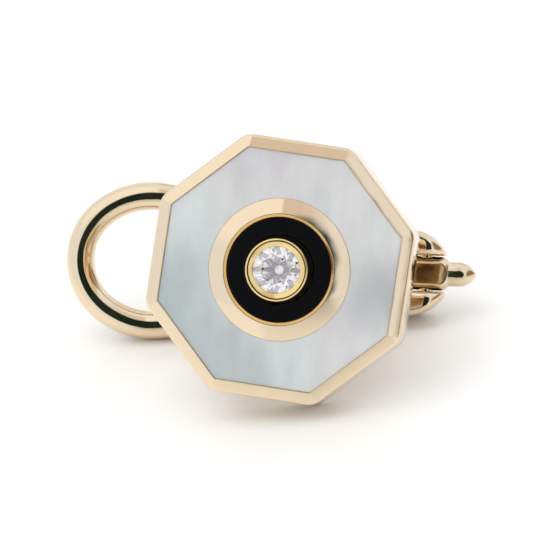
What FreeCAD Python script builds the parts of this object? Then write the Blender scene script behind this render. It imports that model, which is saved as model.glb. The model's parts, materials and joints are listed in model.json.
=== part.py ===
import FreeCAD, Part
import math
import os

# A shirt stud: an octagonal gold tray with an inlaid face, and behind it a post, an arm with a pointed
# nose, and a horseshoe loop that swings on a pin through the arm.
#
# Lengths are millimetres and angles degrees. The pieces are first made upright: X to the right, Z up,
# Y the depth behind the face, so the face looks along -Y and the loop lies level behind it. At the end
# the stud is leant over into the pose in which it rests on a table by itself.

os.makedirs("parts", exist_ok=True)

# Octagon tray
OCTAGON_TURN = -6.0          # turn of the octagon against the loop, clockwise seen from the front
RIM_FLATS = 9.4              # across the flats at the front edge
WALL_FRONT_FLATS = 10.20     # where the sloping rim meets the wall
WALL_BACK_FLATS = 10.24      # the wall flares a little towards the back
TRAY_DEPTH = 2.0             # front edge to the back of the plate
RIM_SLOPE_DEPTH = 0.17       # the rim falls this far from its inner edge to its outer edge
BACK_EDGE_SOFTENING = 0.14
CORNER_RADIUS = 0.8          # round of the eight outer corners
RIM_CORNER_RADIUS = 0.5
POCKET_FLATS = 9.2           # the pocket's corners are sharp, as the shell's are
POCKET_DEPTH = 1.25
SEAT_GAP = 0.02              # gap between pieces that are set or soldered together

# Shell inlay
SHELL_RECESS = 0.08          # the shell lies this far behind the front edge
SHELL_SIDE_GAP = 0.02
SHELL_EDGE_BEVEL = 0.05

# Gold collar round the black ring
COLLAR_OUTER_RADIUS = 2.80
COLLAR_INNER_RADIUS = 2.08
COLLAR_HEIGHT = 0.20         # its crest stands this far in front of the tray's front edge
COLLAR_LIP = 0.11            # from the crest the lip slopes back in: its width and its fall
COLLAR_LIP_FALL = 0.09

# Black ring
ONYX_HEIGHT = 0.02           # its face, in front of the tray's front edge
ONYX_EDGE_BEVEL = 0.04

# Stone and its tapered setting
STONE_RADIUS = 1.0
STONE_GIRDLE_HEIGHT = 0.72   # middle of the girdle, in front of the tray's front edge
GIRDLE_HALF_THICKNESS = 0.03
CROWN_ANGLE = 34.5
PAVILION_ANGLE = 40.8
TABLE_RATIO = 0.56           # radius of the table's corners over the stone's
STAR_ANGLE = 22.0
GIRDLE_FACET_RATIO = 0.985   # the girdle facets cut in to this share of the stone's radius
CROWN_GIRDLE_STEEPER = 6.0   # how much steeper the girdle facets are than the main ones
PAVILION_GIRDLE_STEEPER = 1.6
SETTING_BASE_RADIUS = 1.38
SETTING_TOP_RADIUS = 1.22
SETTING_HEIGHT = 0.97        # top of the rim, in front of the tray's front edge
SETTING_RIM_ROUND = 0.10
SETTING_LIP_RADIUS = 0.92    # the rim slopes down to the stone and is pushed over it to here
SETTING_LIP_THICKNESS = 0.03
SETTING_BORE_RADIUS = 0.50

# Post
POST_FOOT_RADIUS = 1.45
POST_FOOT_THICKNESS = 0.30
POST_COVE = 0.55
POST_RADIUS = 0.80
POST_NECK_RADIUS = 0.58
POST_NECK_LENGTH = 1.6

# Arm, barrel and nose
MECHANISM_DEPTH = 7.4        # the arm and the loop lie this far behind the tray's front edge
ARM_RADIUS = 0.60
ARM_TAIL = -1.1              # the arm's rounded end, just past the post
BARREL_START = 3.45
BARREL_RADIUS = 0.68
BARREL_END = 5.9
BARREL_END_ROUND = 0.42
BARREL_HALF_DEPTH = 0.52     # the barrel is filed flat in front and behind, to this half-thickness
BARREL_FLAT_START = 4.0
NOSE_RADIUS = 0.49
NOSE_STRAIGHT = 0.28
NOSE_TIP = 6.9
NOSE_TIP_RADIUS = 0.05
NOSE_BULGE = 0.79            # radius half-way down the point, over the nose's, before the tip's half

# Hinge
PIN_X = 4.9
PIN_RADIUS = 0.30
RUNNING_GAP = 0.03
PRESS_GAP = 0.01

# Loop
WIRE_RADIUS = 0.56
LOOP_END = -9.5              # outside of the round end
LOOP_END_RADIUS = 2.4        # centre-line radius at the end
LOOP_SIDE_RADIUS = 3.1       # centre-line radius at the sides
LOOP_END_SWEEP = 50.0        # the end arc reaches this far to each side of the axis
LEG_END_X = 4.2
LEG_END_Z = 1.20
LUG_NECK = 1.3               # length in which the round wire becomes the flat lug
LUG_INNER = 0.71             # inner face of a lug, from the axis
LUG_DOME_RADIUS = 1.72       # round of the two lugs' common outline, centred where the legs end
LUG_HALF_DEPTH = 0.80
LUG_CORNER = 0.30
WIRE_CORNER = 0.54           # corner of the neck's first section, which is all but round

# First guesses for the pose at rest, and the span between the loop's two touching places
ROLL_GUESS = 7.0
LEAN_GUESS = 28.0
CONTACT_SPAN = 11.0
POSE_STEPS = 12

POST_MIDDLE_DEPTH = 4.6      # where the buttonhole sits on the post
OCTAGON_HALF_CORNER = 22.5


def point(x, y, z):
    return FreeCAD.Vector(x, y, z)


X_AXIS = point(1, 0, 0)
Y_AXIS = point(0, 1, 0)
Z_AXIS = point(0, 0, 1)
ORIGIN = point(0, 0, 0)


def outline(start, *steps):
    """Closed wire in the XY plane. A step of one point is a straight run, one of two points is an arc
    through the first to the second."""
    edges = []
    here = point(*start, 0)
    for step in list(steps) + [(start,)]:
        stops = [point(*stop, 0) for stop in step]
        if (stops[-1] - here).Length < 1e-6:
            continue
        if len(stops) == 1:
            edges.append(Part.LineSegment(here, stops[0]).toShape())
        else:
            edges.append(Part.Arc(here, stops[0], stops[1]).toShape())
        here = stops[-1]
    return Part.Wire(edges)


def turned_about_depth(start, *steps):
    """Solid of revolution about the stud's own axis, from an outline of (radius, depth)."""
    return Part.Face(outline(start, *steps)).revolve(ORIGIN, Y_AXIS, 360)


def turned_about_arm(start, *steps):
    """Solid of revolution about the arm's axis, from an outline of (place along X, radius)."""
    solid = Part.Face(outline(start, *steps)).revolve(ORIGIN, X_AXIS, 360)
    return solid.translated(point(0, MECHANISM_DEPTH, 0))


def octagon(flats, corner_radius, depth):
    """Octagon in the face's plane at one depth, its corners rounded where corner_radius isn't zero."""
    half_angle = math.radians(OCTAGON_HALF_CORNER)
    corner_distance = flats / 2 / math.cos(half_angle)
    set_back = corner_radius * math.tan(half_angle)
    arc_distance = corner_distance - corner_radius * (1 / math.cos(half_angle) - 1)
    corners = []
    for k in range(8):
        angle = math.radians(OCTAGON_TURN + OCTAGON_HALF_CORNER + 45 * k)
        corners.append(point(math.cos(angle), 0, math.sin(angle)))
    shift = point(0, depth, 0)
    if corner_radius == 0:
        ring = [corner * corner_distance + shift for corner in corners]
        return Part.makePolygon(ring + ring[:1])
    edges = []
    for k in range(8):
        here = corners[k] * corner_distance
        after = corners[(k + 1) % 8] * corner_distance
        run = (after - here).normalize()
        before = (here - corners[k - 1] * corner_distance).normalize()
        arc_start = here - before * set_back
        arc_end = here + run * set_back
        middle = corners[k] * arc_distance
        edges.append(Part.Arc(arc_start + shift, middle + shift, arc_end + shift).toShape())
        edges.append(Part.LineSegment(arc_end + shift, after - run * set_back + shift).toShape())
    return Part.Wire(edges)


def cylinder_along_z(x, depth, radius, half_height):
    return Part.makeCylinder(radius, 2 * half_height, point(x, depth, -half_height), Z_AXIS)


def make_octagon_frame():
    """The tray: a sloping rim, an octagonal wall and a sharp-cornered pocket in front."""
    sections = [
        octagon(RIM_FLATS, RIM_CORNER_RADIUS, 0),
        octagon(WALL_FRONT_FLATS, CORNER_RADIUS, RIM_SLOPE_DEPTH),
        octagon(WALL_BACK_FLATS, CORNER_RADIUS, TRAY_DEPTH - BACK_EDGE_SOFTENING),
        octagon(WALL_BACK_FLATS - 2 * BACK_EDGE_SOFTENING, CORNER_RADIUS, TRAY_DEPTH),
    ]
    body = Part.makeLoft(sections, True, True)
    pocket = Part.Face(octagon(POCKET_FLATS, 0, 0)).extrude(point(0, POCKET_DEPTH, 0))
    return body.cut(pocket)


def make_shell_inlay():
    """The shell plate: an octagon with a bevelled front edge and a round hole for the collar."""
    flats = POCKET_FLATS - 2 * SHELL_SIDE_GAP
    front = SHELL_RECESS + SHELL_EDGE_BEVEL
    back = POCKET_DEPTH - SEAT_GAP
    plate = Part.Face(octagon(flats, 0, front)).extrude(point(0, back - front, 0))
    bevel_sections = [
        octagon(flats - 2 * SHELL_EDGE_BEVEL, 0, SHELL_RECESS),
        octagon(flats, 0, front),
    ]
    bevel = Part.makeLoft(bevel_sections, True, True)
    hole = Part.makeCylinder(COLLAR_OUTER_RADIUS + SEAT_GAP, 2 * TRAY_DEPTH, point(0, -1, 0), Y_AXIS)
    return plate.fuse(bevel).removeSplitter().cut(hole)


def make_ring_collar():
    """The collar stands on the tray's floor. Its face slopes up to a crest, then in to the black ring."""
    floor = POCKET_DEPTH - SEAT_GAP
    return turned_about_depth(
        (COLLAR_OUTER_RADIUS, floor),
        ((COLLAR_OUTER_RADIUS, SHELL_RECESS - SEAT_GAP),),
        ((COLLAR_INNER_RADIUS + COLLAR_LIP, -COLLAR_HEIGHT),),
        ((COLLAR_INNER_RADIUS, COLLAR_LIP_FALL - COLLAR_HEIGHT),),
        ((COLLAR_INNER_RADIUS, floor),),
    )


def make_onyx_ring():
    """The black ring fills the space between the collar and the setting."""
    floor = POCKET_DEPTH - SEAT_GAP
    inner = SETTING_BASE_RADIUS + SEAT_GAP
    outer = COLLAR_INNER_RADIUS - SEAT_GAP
    edge = ONYX_EDGE_BEVEL - ONYX_HEIGHT
    return turned_about_depth(
        (inner, floor),
        ((inner, edge),),
        ((inner + ONYX_EDGE_BEVEL, -ONYX_HEIGHT),),
        ((outer - ONYX_EDGE_BEVEL, -ONYX_HEIGHT),),
        ((outer, edge),),
        ((outer, floor),),
    )


def make_stone_setting():
    """The tapered tube: its seat follows the stone's pavilion and its rim is pushed over the crown."""
    floor = POCKET_DEPTH - SEAT_GAP
    girdle_top = -(STONE_GIRDLE_HEIGHT + GIRDLE_HALF_THICKNESS) - SEAT_GAP
    girdle_bottom = -(STONE_GIRDLE_HEIGHT - GIRDLE_HALF_THICKNESS) + SEAT_GAP
    seat_radius = STONE_RADIUS + SEAT_GAP
    lip_rise = (seat_radius - SETTING_LIP_RADIUS) * math.tan(math.radians(CROWN_ANGLE))
    seat_fall = (seat_radius - SETTING_BORE_RADIUS) * math.tan(math.radians(PAVILION_ANGLE))
    rim_top = -SETTING_HEIGHT
    round_depth = rim_top + SETTING_RIM_ROUND
    round_middle = SETTING_RIM_ROUND * (1 - math.sqrt(0.5))
    return turned_about_depth(
        (SETTING_BASE_RADIUS, floor),
        ((SETTING_BASE_RADIUS, 0),),
        ((SETTING_TOP_RADIUS, round_depth),),
        (
            (SETTING_TOP_RADIUS - round_middle, rim_top + round_middle),
            (SETTING_TOP_RADIUS - SETTING_RIM_ROUND, rim_top),
        ),
        ((SETTING_LIP_RADIUS, girdle_top - lip_rise - SETTING_LIP_THICKNESS),),
        ((SETTING_LIP_RADIUS, girdle_top - lip_rise),),
        ((seat_radius, girdle_top),),
        ((seat_radius, girdle_bottom),),
        ((SETTING_BORE_RADIUS, girdle_bottom + seat_fall),),
        ((SETTING_BORE_RADIUS, floor),),
    )


def facet(solid, azimuth, slope, radius, height):
    """Grinds one flat facet. The facet faces the azimuth, slopes by the angle from level (over 90 for
    the pavilion) and passes through the point at that radius and height."""
    size = 4 * STONE_RADIUS
    waste = Part.makeBox(size, size, size, point(-size / 2, -size / 2, 0))
    waste.rotate(ORIGIN, Y_AXIS, slope)
    waste.translate(point(radius, 0, height))
    waste.rotate(ORIGIN, Z_AXIS, azimuth)
    return solid.cut(waste)


def make_stone():
    """A round brilliant: table, 8 star, 8 main and 16 girdle facets above, 16 and 8 facets below."""
    edge = GIRDLE_HALF_THICKNESS
    table_radius = TABLE_RATIO * STONE_RADIUS
    table = edge + (STONE_RADIUS - table_radius) * math.tan(math.radians(CROWN_ANGLE))
    star_radius = table_radius * math.cos(math.radians(OCTAGON_HALF_CORNER))
    girdle_radius = GIRDLE_FACET_RATIO * STONE_RADIUS
    steeper_crown = CROWN_ANGLE + CROWN_GIRDLE_STEEPER
    steeper_pavilion = PAVILION_ANGLE + PAVILION_GIRDLE_STEEPER
    solid = Part.makeCylinder(STONE_RADIUS, table + STONE_RADIUS, point(0, 0, -STONE_RADIUS))
    for k in range(8):
        main = 45.0 * k
        between = main + 22.5
        solid = facet(solid, main, CROWN_ANGLE, STONE_RADIUS, edge)
        solid = facet(solid, between, STAR_ANGLE, star_radius, table)
        solid = facet(solid, main, 180 - PAVILION_ANGLE, STONE_RADIUS, -edge)
        for side in (-11.25, 11.25):
            solid = facet(solid, main + side, steeper_crown, girdle_radius, edge)
            solid = facet(solid, main + side, 180 - steeper_pavilion, girdle_radius, -edge)
    solid.rotate(ORIGIN, X_AXIS, 90)
    solid.translate(point(0, -STONE_GIRDLE_HEIGHT, 0))
    return solid


def make_post():
    """The stem: a flanged foot on the back plate, a cove, and a neck that is soldered to the arm."""
    foot = TRAY_DEPTH + SEAT_GAP
    flange = foot + POST_FOOT_THICKNESS
    cove_middle = POST_COVE * (1 - math.sqrt(0.5))
    stem = turned_about_depth(
        (0, foot),
        ((POST_FOOT_RADIUS, foot),),
        ((POST_FOOT_RADIUS, flange),),
        ((POST_RADIUS + POST_COVE, flange),),
        (
            (POST_RADIUS + cove_middle, flange + cove_middle),
            (POST_RADIUS, flange + POST_COVE),
        ),
        ((POST_RADIUS, MECHANISM_DEPTH - POST_NECK_LENGTH),),
        ((POST_NECK_RADIUS, MECHANISM_DEPTH),),
        ((0, MECHANISM_DEPTH),),
    )
    saddle = Part.makeCylinder(
        ARM_RADIUS + SEAT_GAP, 4 * POST_RADIUS, point(-2 * POST_RADIUS, MECHANISM_DEPTH, 0), X_AXIS
    )
    return stem.cut(saddle)


def make_nose_arm():
    """One turned bar: rounded tail, arm, thicker barrel with a rounded end, and a pointed nose. The barrel
    is then filed flat in front and behind."""
    half = math.sqrt(0.5)
    tail_centre = ARM_TAIL + ARM_RADIUS
    barrel_round = BARREL_END - BARREL_END_ROUND
    barrel_shoulder = BARREL_RADIUS - BARREL_END_ROUND
    step = BARREL_RADIUS - ARM_RADIUS
    nose_start = BARREL_END + NOSE_STRAIGHT
    nose_meets = barrel_round + math.sqrt(BARREL_END_ROUND**2 - (NOSE_RADIUS - barrel_shoulder) ** 2)
    round_middle_angle = 0.5 * (math.pi / 2 + math.asin((NOSE_RADIUS - barrel_shoulder) / BARREL_END_ROUND))
    bar = turned_about_arm(
        (ARM_TAIL, 0),
        (
            (tail_centre - ARM_RADIUS * half, ARM_RADIUS * half),
            (tail_centre, ARM_RADIUS),
        ),
        ((BARREL_START, ARM_RADIUS),),
        ((BARREL_START + step, BARREL_RADIUS),),
        ((barrel_round, BARREL_RADIUS),),
        (
            (
                barrel_round + BARREL_END_ROUND * math.cos(round_middle_angle),
                barrel_shoulder + BARREL_END_ROUND * math.sin(round_middle_angle),
            ),
            (nose_meets, NOSE_RADIUS),
        ),
        ((nose_start, NOSE_RADIUS),),
        (
            (0.5 * (nose_start + NOSE_TIP), NOSE_BULGE * NOSE_RADIUS + 0.5 * NOSE_TIP_RADIUS),
            (NOSE_TIP, NOSE_TIP_RADIUS),
        ),
        ((NOSE_TIP, 0),),
    )
    reach = 2 * BARREL_RADIUS
    flat_length = BARREL_END - BARREL_FLAT_START
    for side in (1, -1):
        depth = MECHANISM_DEPTH + side * (BARREL_HALF_DEPTH + reach / 2) - reach / 2
        waste = Part.makeBox(flat_length, reach, 2 * reach, point(BARREL_FLAT_START, depth, -reach))
        bar = bar.cut(waste)
    return bar.cut(cylinder_along_z(PIN_X, MECHANISM_DEPTH, PIN_RADIUS + PRESS_GAP, reach))


def lug_dome(depth):
    """The bar whose round end the two lugs share, seen from the front."""
    start = point(LEG_END_X, MECHANISM_DEPTH - depth, 0)
    return Part.makeCylinder(LUG_DOME_RADIUS, 2 * depth, start, Y_AXIS)


def make_hinge_pin():
    """The pin runs through both lugs and the barrel, and is filed flush with the lugs' outline."""
    pin = cylinder_along_z(PIN_X, MECHANISM_DEPTH, PIN_RADIUS, LUG_DOME_RADIUS)
    return pin.common(lug_dome(LUG_HALF_DEPTH))


def tangent_angle(centre_x, centre_z, radius, x, z):
    """Angle, round the circle, of the point where the upper tangent from (x, z) touches it."""
    distance = math.hypot(x - centre_x, z - centre_z)
    return math.atan2(z - centre_z, x - centre_x) + math.acos(radius / distance)


def make_bow():
    """The bent wire: an end arc, a wider arc at each side, and two straight legs that close in."""
    end_x = LOOP_END + WIRE_RADIUS + LOOP_END_RADIUS
    sweep = math.radians(180 - LOOP_END_SWEEP)
    growth = LOOP_SIDE_RADIUS - LOOP_END_RADIUS
    side_x = end_x - growth * math.cos(sweep)
    side_z = -growth * math.sin(sweep)
    touch = tangent_angle(side_x, side_z, LOOP_SIDE_RADIUS, LEG_END_X, LEG_END_Z)
    half_way = (touch + sweep) / 2

    def on_side(angle, sign):
        return point(
            side_x + LOOP_SIDE_RADIUS * math.cos(angle),
            MECHANISM_DEPTH,
            sign * (side_z + LOOP_SIDE_RADIUS * math.sin(angle)),
        )

    leg_ends = [point(LEG_END_X, MECHANISM_DEPTH, sign * LEG_END_Z) for sign in (1, -1)]
    tip = point(end_x - LOOP_END_RADIUS, MECHANISM_DEPTH, 0)
    leg = on_side(touch, 1) - leg_ends[0]
    slope = math.degrees(math.atan2(leg.z, -leg.x))
    cut_back = leg_ends[0] + leg * (LUG_NECK / leg.Length)
    lower_cut_back = point(cut_back.x, cut_back.y, -cut_back.z)
    path = Part.Wire(
        [
            Part.LineSegment(cut_back, on_side(touch, 1)).toShape(),
            Part.Arc(on_side(touch, 1), on_side(half_way, 1), on_side(sweep, 1)).toShape(),
            Part.Arc(on_side(sweep, 1), tip, on_side(sweep, -1)).toShape(),
            Part.Arc(on_side(sweep, -1), on_side(half_way, -1), on_side(touch, -1)).toShape(),
            Part.LineSegment(on_side(touch, -1), lower_cut_back).toShape(),
        ]
    )
    section = Part.Wire([Part.makeCircle(WIRE_RADIUS, cut_back, leg)])
    return path.makePipeShell([section], True, True), cut_back, slope


def lug_section(centre, half_depth, half_height, corner, slope):
    """Rounded rectangle across a leg, its plane turned by the leg's slope."""
    flat_y = half_depth - corner
    flat_z = half_height - corner
    bulge = corner * math.sqrt(0.5)
    edges = []
    for side_y, side_z in ((1, 1), (-1, 1), (-1, -1), (1, -1)):
        middle = point(0, side_y * (flat_y + bulge), side_z * (flat_z + bulge))
        on_side = point(0, side_y * half_depth, side_z * flat_z)
        on_top = point(0, side_y * flat_y, side_z * half_height)
        start, end = (on_side, on_top) if side_y * side_z > 0 else (on_top, on_side)
        edges.append((start, middle, end))
    wire = []
    for k, (start, middle, end) in enumerate(edges):
        wire.append(Part.Arc(start, middle, end).toShape())
        wire.append(Part.LineSegment(end, edges[(k + 1) % 4][0]).toShape())
    section = Part.Wire(wire)
    section.rotate(ORIGIN, Y_AXIS, slope)
    section.translate(centre)
    return section


def make_lug(cut_back, slope):
    """The upper lug: a neck from round wire to a flat tongue, then the tongue with a round eye."""
    half_height = (LUG_DOME_RADIUS - LUG_INNER) / 2
    lug_z = LUG_INNER + half_height
    start = lug_section(cut_back, WIRE_RADIUS, WIRE_RADIUS, WIRE_CORNER, slope)
    root = point(LEG_END_X, MECHANISM_DEPTH, lug_z)
    tongue_section = lug_section(root, LUG_HALF_DEPTH, half_height, LUG_CORNER, 0)
    neck = Part.makeLoft([start, tongue_section], True, True)
    reach = PIN_X + LUG_HALF_DEPTH - LEG_END_X
    tongue = Part.Face(tongue_section).extrude(point(reach, 0, 0))
    eye = cylinder_along_z(PIN_X, MECHANISM_DEPTH, LUG_HALF_DEPTH, 2 * LUG_DOME_RADIUS)
    straight = Part.makeBox(
        PIN_X - LEG_END_X,
        2 * LUG_HALF_DEPTH,
        4 * LUG_DOME_RADIUS,
        point(LEG_END_X, MECHANISM_DEPTH - LUG_HALF_DEPTH, -2 * LUG_DOME_RADIUS),
    )
    tongue = tongue.common(eye.fuse(straight)).common(lug_dome(LUG_HALF_DEPTH))
    return neck.fuse(tongue)


def make_loop():
    """The loop: the bent wire and its two lugs, bored for the pin."""
    bow, cut_back, slope = make_bow()
    upper = make_lug(cut_back, slope)
    lower = upper.mirror(ORIGIN, Z_AXIS)
    bore = cylinder_along_z(PIN_X, MECHANISM_DEPTH, PIN_RADIUS + RUNNING_GAP, 2 * LUG_DOME_RADIUS)
    return bow.fuse([upper, lower]).removeSplitter().cut(bore)


def leant_over(shape, roll, lean):
    """The shape rolled clockwise in the face's plane, then leant back."""
    moved = shape.copy()
    moved.rotate(ORIGIN, Y_AXIS, roll)
    moved.rotate(ORIGIN, X_AXIS, -lean)
    return moved


def lowest(shape, roll, lean):
    return leant_over(shape, roll, lean).optimalBoundingBox(False, False).ZMin


def resting_pose(frame, loop):
    """Roll and lean at which the tray's corner, the loop's side and the lug all touch the table."""
    reach = 4 * abs(LOOP_END)
    box_corner = point(-reach / 2, MECHANISM_DEPTH - reach / 2, -reach / 2)
    left = loop.common(Part.makeBox(reach / 2, reach, reach, box_corner))
    right = loop.common(Part.makeBox(reach / 2, reach, reach, box_corner + point(reach / 2, 0, 0)))
    roll = ROLL_GUESS
    lean = LEAN_GUESS
    for _ in range(POSE_STEPS):
        frame_low = lowest(frame, roll, lean)
        left_low = lowest(left, roll, lean)
        right_low = lowest(right, roll, lean)
        roll += math.degrees((right_low - left_low) / CONTACT_SPAN)
        lean += math.degrees((0.5 * (left_low + right_low) - frame_low) / MECHANISM_DEPTH)
    print(f"rest: roll {roll:.3f} lean {lean:.3f}, contacts {frame_low:.4f} {left_low:.4f} {right_low:.4f}")
    return roll, lean


pieces = {
    "octagon_frame": make_octagon_frame(),
    "shell_inlay": make_shell_inlay(),
    "ring_collar": make_ring_collar(),
    "onyx_ring": make_onyx_ring(),
    "stone_setting": make_stone_setting(),
    "stone": make_stone(),
    "post": make_post(),
    "nose_arm": make_nose_arm(),
    "hinge_pin": make_hinge_pin(),
    "loop": make_loop(),
}

roll, lean = resting_pose(pieces["octagon_frame"], pieces["loop"])
leant = {name: leant_over(shape, roll, lean) for name, shape in pieces.items()}
box = Part.makeCompound(list(leant.values())).optimalBoundingBox(False, False)
to_table = point(-box.Center.x, -box.Center.y, -box.ZMin)

total = 0.0
for name, shape in leant.items():
    shape.translate(to_table)
    shape.exportStep(f"parts/{name}.step")
    total += shape.Volume
    solids = len(shape.Solids)
    print(f"{name}: {solids} solid, {shape.Volume:.2f} mm3, valid {shape.isValid()}")
print(f"size {box.XLength:.2f} x {box.YLength:.2f} x {box.ZLength:.2f}, {total:.1f} mm3 in all")


def placed(x, depth, z):
    """A point of the upright stud, in the pose at rest."""
    return leant_over(Part.Vertex(x, depth, z), roll, lean).Point + to_table


def direction(x, depth, z):
    return placed(x, depth, z) - placed(0, 0, 0)


print("hinge at", placed(PIN_X, MECHANISM_DEPTH, 0), "axis", direction(0, 0, 1))
print("face centre", placed(0, 0, 0), "outwards", direction(0, -1, 0), "right", direction(1, 0, 0))
print("back plate centre", placed(0, TRAY_DEPTH, 0), "post middle", placed(0, POST_MIDDLE_DEPTH, 0))
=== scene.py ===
# %% [markdown]
# A shirt stud in Blender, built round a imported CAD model.
#
# The real object is a small jewel: an octagonal tray of pale gold, inlaid with mother-of-pearl, a black
# ring and a brilliant in a raised tube. Behind the face a short post carries an arm with a pointed nose,
# and a horseshoe of gold wire swings on a pin through that arm. The stud passes a buttonhole nose first.
#
# The CAD model fixes the size and place of every piece. This file gives each piece its finished surface:
# finer curves, softened edges and a worked-out material. Nothing is moved.

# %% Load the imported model
import bmesh
import bpy
import json
import math
import numpy as np
from mathutils import Matrix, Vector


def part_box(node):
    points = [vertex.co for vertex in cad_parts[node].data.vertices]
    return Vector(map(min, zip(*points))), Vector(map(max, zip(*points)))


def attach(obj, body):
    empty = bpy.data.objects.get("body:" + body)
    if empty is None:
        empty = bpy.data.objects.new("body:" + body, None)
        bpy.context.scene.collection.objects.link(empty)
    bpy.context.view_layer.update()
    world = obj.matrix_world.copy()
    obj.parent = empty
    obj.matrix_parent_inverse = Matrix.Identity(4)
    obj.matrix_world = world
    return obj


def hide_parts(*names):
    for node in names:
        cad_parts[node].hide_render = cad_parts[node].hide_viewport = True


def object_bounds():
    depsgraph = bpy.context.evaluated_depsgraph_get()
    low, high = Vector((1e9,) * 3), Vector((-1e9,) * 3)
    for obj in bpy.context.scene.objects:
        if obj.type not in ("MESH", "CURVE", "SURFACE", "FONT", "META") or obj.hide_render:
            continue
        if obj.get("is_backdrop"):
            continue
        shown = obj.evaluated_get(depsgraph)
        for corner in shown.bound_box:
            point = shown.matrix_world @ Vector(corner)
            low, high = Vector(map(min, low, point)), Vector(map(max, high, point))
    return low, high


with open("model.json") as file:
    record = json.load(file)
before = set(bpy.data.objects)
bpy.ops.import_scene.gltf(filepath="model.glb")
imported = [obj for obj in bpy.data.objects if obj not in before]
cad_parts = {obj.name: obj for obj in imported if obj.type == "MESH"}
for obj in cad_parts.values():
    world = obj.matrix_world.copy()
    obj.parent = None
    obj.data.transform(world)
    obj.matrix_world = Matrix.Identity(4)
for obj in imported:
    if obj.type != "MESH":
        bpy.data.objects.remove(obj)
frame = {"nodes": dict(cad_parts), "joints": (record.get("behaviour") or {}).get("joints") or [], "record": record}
cad_low, cad_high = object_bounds()
print("nodes:", ", ".join(sorted(frame["nodes"])))

# %% [markdown]
# The stud rests on its side and leans back, so its own axes aren't the scene's axes. It is far easier to
# describe a lathe-turned ring or a bent wire in the stud's own axes: right along the arm, up in the
# face's plane, and depth behind the face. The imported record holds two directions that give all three:
# the buttonhole's axis points out of the face, and the hinge's axis points down along the pin.

# %% The stud's own axes
MM = 0.001
BUTTONHOLE_DEPTH = 4.6 * MM      # the buttonhole's place on the post, behind the tray's front edge

hinge = frame["joints"][0]
buttonhole = next(m for m in frame["record"]["mounts"] if m["name"] == "buttonhole")
out_of_face = np.array(buttonhole["axis"])
upwards = -np.array(hinge["axis"])
rightwards = np.cross(-out_of_face, upwards)
face_centre = np.array(buttonhole["pos_m"]) + out_of_face * BUTTONHOLE_DEPTH


def in_place(local):
    """Points (right, depth, up) of the stud, in metres, as points of the scene: the face's centre plus
    each coordinate times its direction."""
    local = np.asarray(local, float)
    return (
        face_centre
        + local[..., 0:1] * rightwards
        - local[..., 1:2] * out_of_face
        + local[..., 2:3] * upwards
    )


print("face centre, mm:", np.round(face_centre / MM, 3))
print("lean, degrees:", round(math.degrees(math.asin(out_of_face[2])), 1))

# %% [markdown]
# Every new piece is a surface on a grid: rows run along a profile or a path, columns run round it. Blender
# could sweep a curve instead, but a grid puts every point where the piece needs it. The first helper lists
# the grid's quads. The second closes the seams and poles, turns the faces outwards, and marks as sharp only
# the edges that are sharper than a polished edge could be.

# %% Faces of a grid
SHARP_ANGLE = math.radians(38)
MERGE_DISTANCE = 1e-8


def grid_faces(rows, columns, close_rows=False):
    """Quads of a grid whose columns wrap round, and whose rows do too where close_rows is set."""
    row = np.arange(rows if close_rows else rows - 1)[:, None]
    column = np.arange(columns)[None, :]
    next_row = (row + 1) % rows
    next_column = (column + 1) % columns
    corners = [
        row * columns + column,
        row * columns + next_column,
        next_row * columns + next_column,
        next_row * columns + column,
    ]
    return np.stack([np.broadcast_to(c, (len(row), columns)) for c in corners], -1).reshape(-1, 4)


def tidy(mesh):
    """Merges doubled points, points the faces outwards and sets the shading."""
    work = bmesh.new()
    work.from_mesh(mesh)
    bmesh.ops.remove_doubles(work, verts=work.verts, dist=MERGE_DISTANCE)
    bmesh.ops.dissolve_degenerate(work, edges=work.edges, dist=MERGE_DISTANCE)
    bmesh.ops.recalc_face_normals(work, faces=work.faces)
    work.to_mesh(mesh)
    work.free()
    mesh.shade_smooth()
    mesh.set_sharp_from_angle(angle=SHARP_ANGLE)


print("quads of a closed grid of 3 rows and 4 columns:", len(grid_faces(3, 4, close_rows=True)))

# %% [markdown]
# The third helper makes the piece: it puts the points in their place in the scene and links the object. The
# object itself stays at the origin, and its place is in its mesh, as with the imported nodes.

# %% A piece from a grid


def piece_from_grid(name, points, close_rows=False):
    """A piece from an array of shape (rows, columns, 3) in the stud's own axes."""
    rows, columns = points.shape[:2]
    mesh = bpy.data.meshes.new(name)
    places = in_place(points).reshape(-1, 3)
    mesh.from_pydata(places.tolist(), [], grid_faces(rows, columns, close_rows).tolist())
    tidy(mesh)
    piece = bpy.data.objects.new(name, mesh)
    bpy.context.scene.collection.objects.link(piece)
    print(f"{name}: {len(mesh.vertices)} points, {len(mesh.polygons)} faces")
    return piece


print("points closer than", MERGE_DISTANCE, "m are merged")

# %% [markdown]
# Hand-finished metal has no knife edges: each corner of a profile is a tiny arc that catches the light.
# So a profile is a short list of corners, each with its own radius, and this helper puts the arcs in.

# %% Profiles with softened corners
ARC_STEPS = 6


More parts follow.
